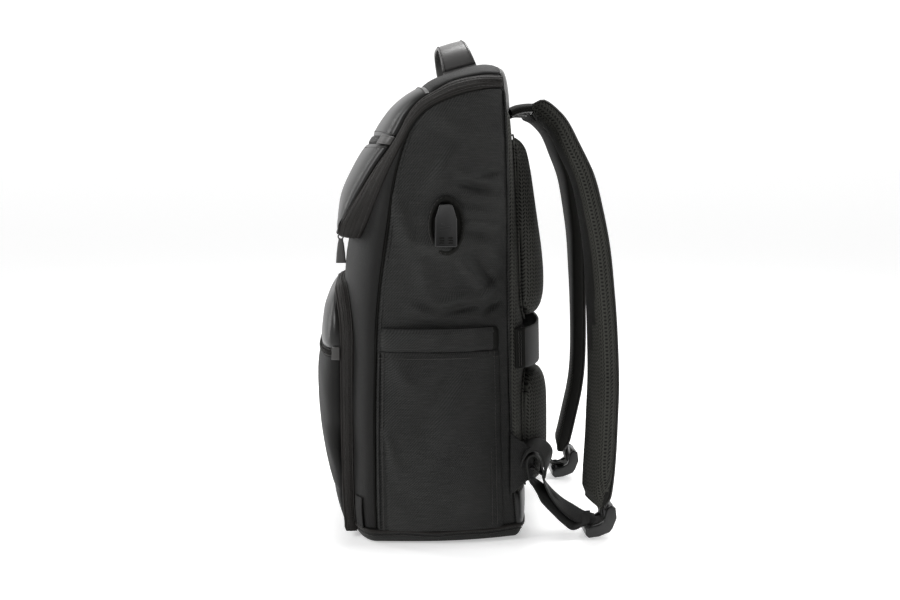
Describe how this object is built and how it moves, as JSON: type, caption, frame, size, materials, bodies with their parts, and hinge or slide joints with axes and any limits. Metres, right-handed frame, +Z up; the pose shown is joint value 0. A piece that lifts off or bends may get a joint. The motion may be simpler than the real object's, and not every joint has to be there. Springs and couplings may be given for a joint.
{
  "type": "laptop backpack",
  "caption": "Black laptop backpack with an overhanging zipped lid, front and side pockets, a charging port, a grab handle, a padded back and shoulder straps",
  "frame": {"origin": "Centre of the flat underside of the base, where the bag stands on the floor.", "axes": "+Z up; +X the wearer's right side, the side with the charging port; -Y the front with the lid and the front pocket; +Y the padded back with the shoulder straps."},
  "size_m": [0.3128, 0.3014, 0.489],
  "materials": {
    "cloth": "matt woven polyester",
    "satin": "smooth coated cloth with a satin sheen",
    "dark": "dark woven tape and zip cloth",
    "coated": "smooth artificial leather, slightly glossy",
    "mesh": "padded spacer mesh",
    "webbing": "ribbed polyester webbing",
    "plastic": "moulded, semi-matt",
    "grey": "grey artificial leather patch, satin"
  },
  "bodies": {
    "root": {"side_panel_right": "cloth", "side_panel_left": "cloth", "front_panel": "satin", "lid_gusset": "dark", "back_panel": "dark", "back_yoke": "coated", "base_panel": "cloth", "lid_top_panel": "coated", "lid_front_upper_panel": "satin", "lid_zip": "dark", "lid_front_lower_panel": "satin", "lid_zip_tab_right": "grey", "lid_zip_tab_left": "grey", "front_pocket_base": "coated", "front_pocket_lower": "satin", "front_pocket_zip": "dark", "front_pocket_upper": "satin", "front_pocket_zip_tab_right": "grey", "front_pocket_zip_tab_left": "grey", "front_pocket_loop_right": "grey", "front_pocket_loop_left": "grey", "front_pocket_gusset": "dark", "side_pocket_right": "cloth", "side_pocket_left": "cloth", "side_pocket_hem_right": "cloth", "side_pocket_hem_left": "cloth", "usb_port_base": "dark", "usb_port_housing": "plastic", "grab_handle": "coated", "back_pad_upper": "mesh", "back_pad_lower": "mesh", "luggage_strap": "webbing", "strap_anchor_right": "cloth", "strap_anchor_left": "cloth", "shoulder_strap_right": "mesh", "shoulder_strap_left": "mesh", "ladder_lock_right": "plastic", "ladder_lock_left": "plastic", "strap_tail_right": "webbing", "strap_tail_left": "webbing", "lower_anchor_tab_right": "webbing", "lower_anchor_tab_left": "webbing", "strap_webbing_right": "webbing", "strap_webbing_left": "webbing", "zip_slider": "plastic", "zip_pull": "plastic"}
  },
  "joints": []
}
